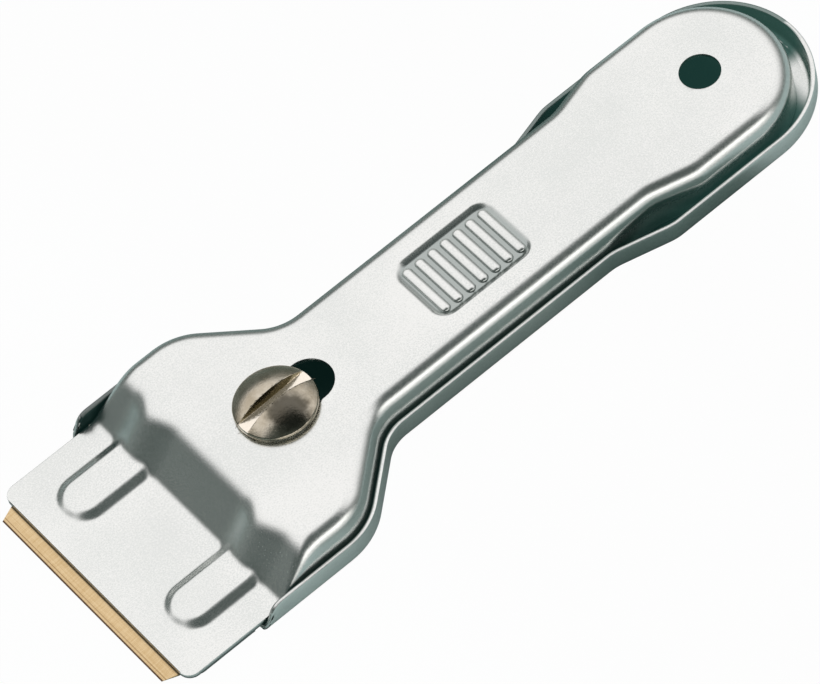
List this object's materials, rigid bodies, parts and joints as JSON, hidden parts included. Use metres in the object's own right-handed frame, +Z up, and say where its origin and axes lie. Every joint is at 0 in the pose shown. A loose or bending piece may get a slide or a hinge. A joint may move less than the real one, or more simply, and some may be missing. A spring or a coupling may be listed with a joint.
{
  "type": "ceramic hob scraper",
  "caption": "Pocket scraper with a thin ground blade between a pressed steel tray and a sliding pressed cover, held by a coin-slotted clamp screw, with hanging holes at the rear.",
  "frame": {"origin": "middle of the tray's hanging hole, on the underside that the tool lies on", "axes": "+X along the tool from the blade towards the rear end, +Z up through the cover, +Y to the left seen from the blade"},
  "size_m": [0.1346, 0.0462, 0.0121],
  "materials": {
    "zinc_plate": "satin bright zinc plating on pressed sheet steel",
    "nickel_plate": "nickel plating with a warm tone",
    "blade_steel": "ground carbon steel with a tan tone at the bevel"
  },
  "bodies": {
    "tray": {"base_tray": "zinc_plate", "blade": "blade_steel", "clamp_nut": "zinc_plate"},
    "cover": {"top_cover": "zinc_plate"},
    "washer": {"clamp_washer": "zinc_plate"},
    "screw": {"clamp_screw": "nickel_plate"}
  },
  "joints": [
    {"name": "cover_slide", "type": "slide", "parent": "tray", "child": "cover", "axis": [-1, 0, 0], "range_m": [0, 0.0059]},
    {"name": "screw_lift", "type": "slide", "parent": "tray", "child": "washer", "axis": [0, 0, 1], "range_m": [0, 0.0008]},
    {"name": "screw_turn", "type": "hinge", "parent": "washer", "child": "screw", "pos_m": [-0.074, 0, 0.009], "axis": [0, 0, 1], "range_deg": [0, 360]}
  ],
  "couplings": [
    {"joint": "screw_turn", "follows": "screw_lift", "rad_per_m": 7854}
  ]
}
